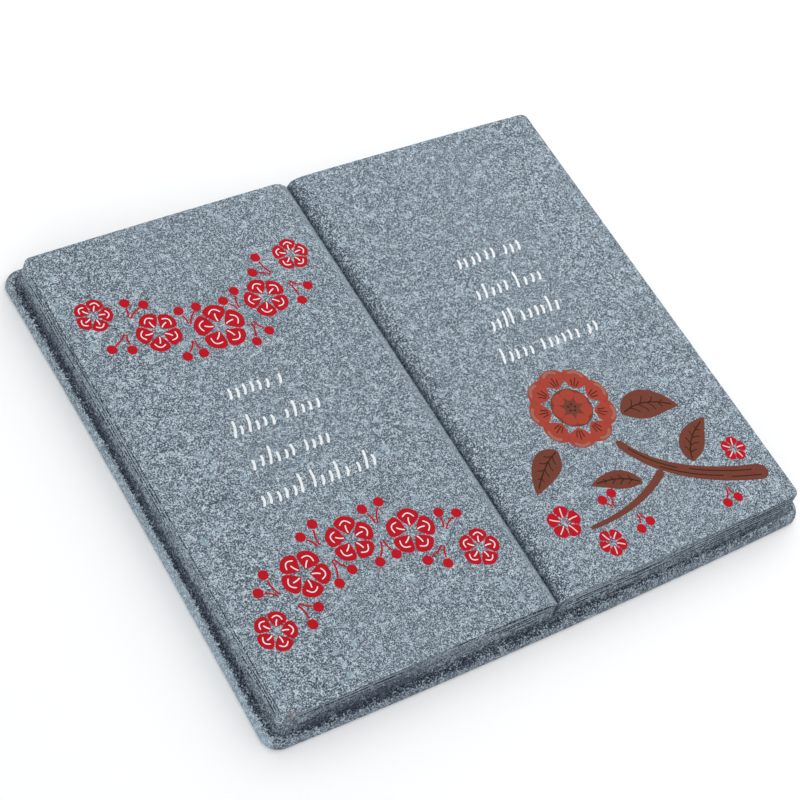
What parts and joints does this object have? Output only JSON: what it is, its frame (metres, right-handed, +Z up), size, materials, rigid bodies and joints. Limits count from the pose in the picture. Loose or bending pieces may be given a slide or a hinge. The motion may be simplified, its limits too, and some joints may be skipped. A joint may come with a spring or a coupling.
{
  "type": "memorial plaque",
  "caption": "Low memorial plaque in the form of an open book lying flat: thin rounded cover slab, page block with fine leaf lines round its sides, and a gutter between two flat pages.",
  "frame": {"origin": "centre of the underside, on the surface that the plaque lies on", "axes": "+X from the left page to the right page, +Y from the front edge to the back edge, +Z up out of the pages"},
  "size_m": [0.1598, 0.1416, 0.0108],
  "materials": {
    "speckled_resin": "matte blue-grey granite-effect speckle, with a dark wash in the crevice between pages and cover",
    "white_print": "thin matt white printing ink",
    "red_print": "thin matt red printing ink",
    "brown_print": "thin matt brown and brick-red printing ink"
  },
  "bodies": {
    "root": {"open_book_plaque": "speckled_resin"}
  },
  "joints": []
}
